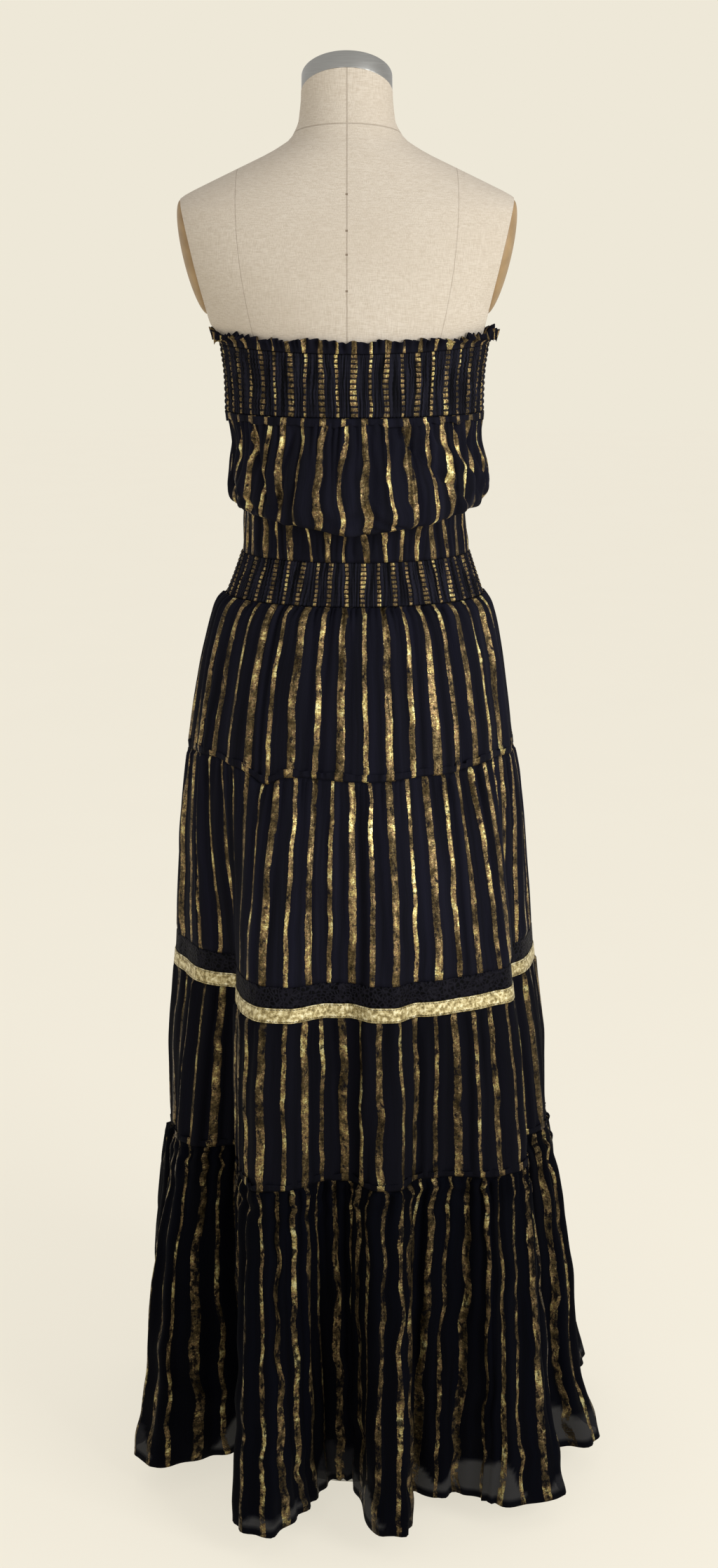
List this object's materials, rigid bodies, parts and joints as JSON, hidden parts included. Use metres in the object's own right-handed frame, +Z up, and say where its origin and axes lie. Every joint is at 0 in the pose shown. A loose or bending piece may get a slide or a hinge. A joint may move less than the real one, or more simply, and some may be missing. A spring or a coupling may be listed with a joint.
{
  "type": "tiered maxi dress on a dress form with a stand",
  "caption": "Strapless tiered maxi dress with smocked bust and waist bands, blouson bodice, lace and ribbon trim and a fluted hem, on a limbless dress form with a pole stand.",
  "frame": {"origin": "centre of the stand base's underside, on the floor", "axes": "+Z up; the back of the dress faces -Y, the bust faces +Y; +X is to the right when the back is seen"},
  "size_m": [0.579, 0.6127, 1.6793],
  "materials": {
    "striped_cotton": "fine navy-black cotton voile woven with gold metallic warp stripes",
    "crochet_lace": "dense black crochet lace",
    "metallic_ribbon": "pale gold woven metallic ribbon",
    "linen_canvas": "natural linen canvas",
    "tan_board": "tan covered board",
    "brushed_steel": "brushed steel"
  },
  "bodies": {
    "root": {"bust_heading": "striped_cotton", "bust_band": "striped_cotton", "bust_frill": "striped_cotton", "bodice_back": "striped_cotton", "bodice_front": "striped_cotton", "waist_band": "striped_cotton", "tier_1_back": "striped_cotton", "tier_1_front": "striped_cotton", "seam_frill_1": "striped_cotton", "tier_2_back": "striped_cotton", "tier_2_front": "striped_cotton", "lace_band": "crochet_lace", "gold_ribbon": "metallic_ribbon", "tier_3_back": "striped_cotton", "tier_3_front": "striped_cotton", "seam_frill_3": "striped_cotton", "tier_4_back": "striped_cotton", "tier_4_front": "striped_cotton", "form_torso": "linen_canvas", "arm_plate_left": "tan_board", "arm_plate_right": "tan_board", "neck_cap": "brushed_steel", "stand_pole": "brushed_steel", "stand_base": "brushed_steel"}
  },
  "joints": []
}
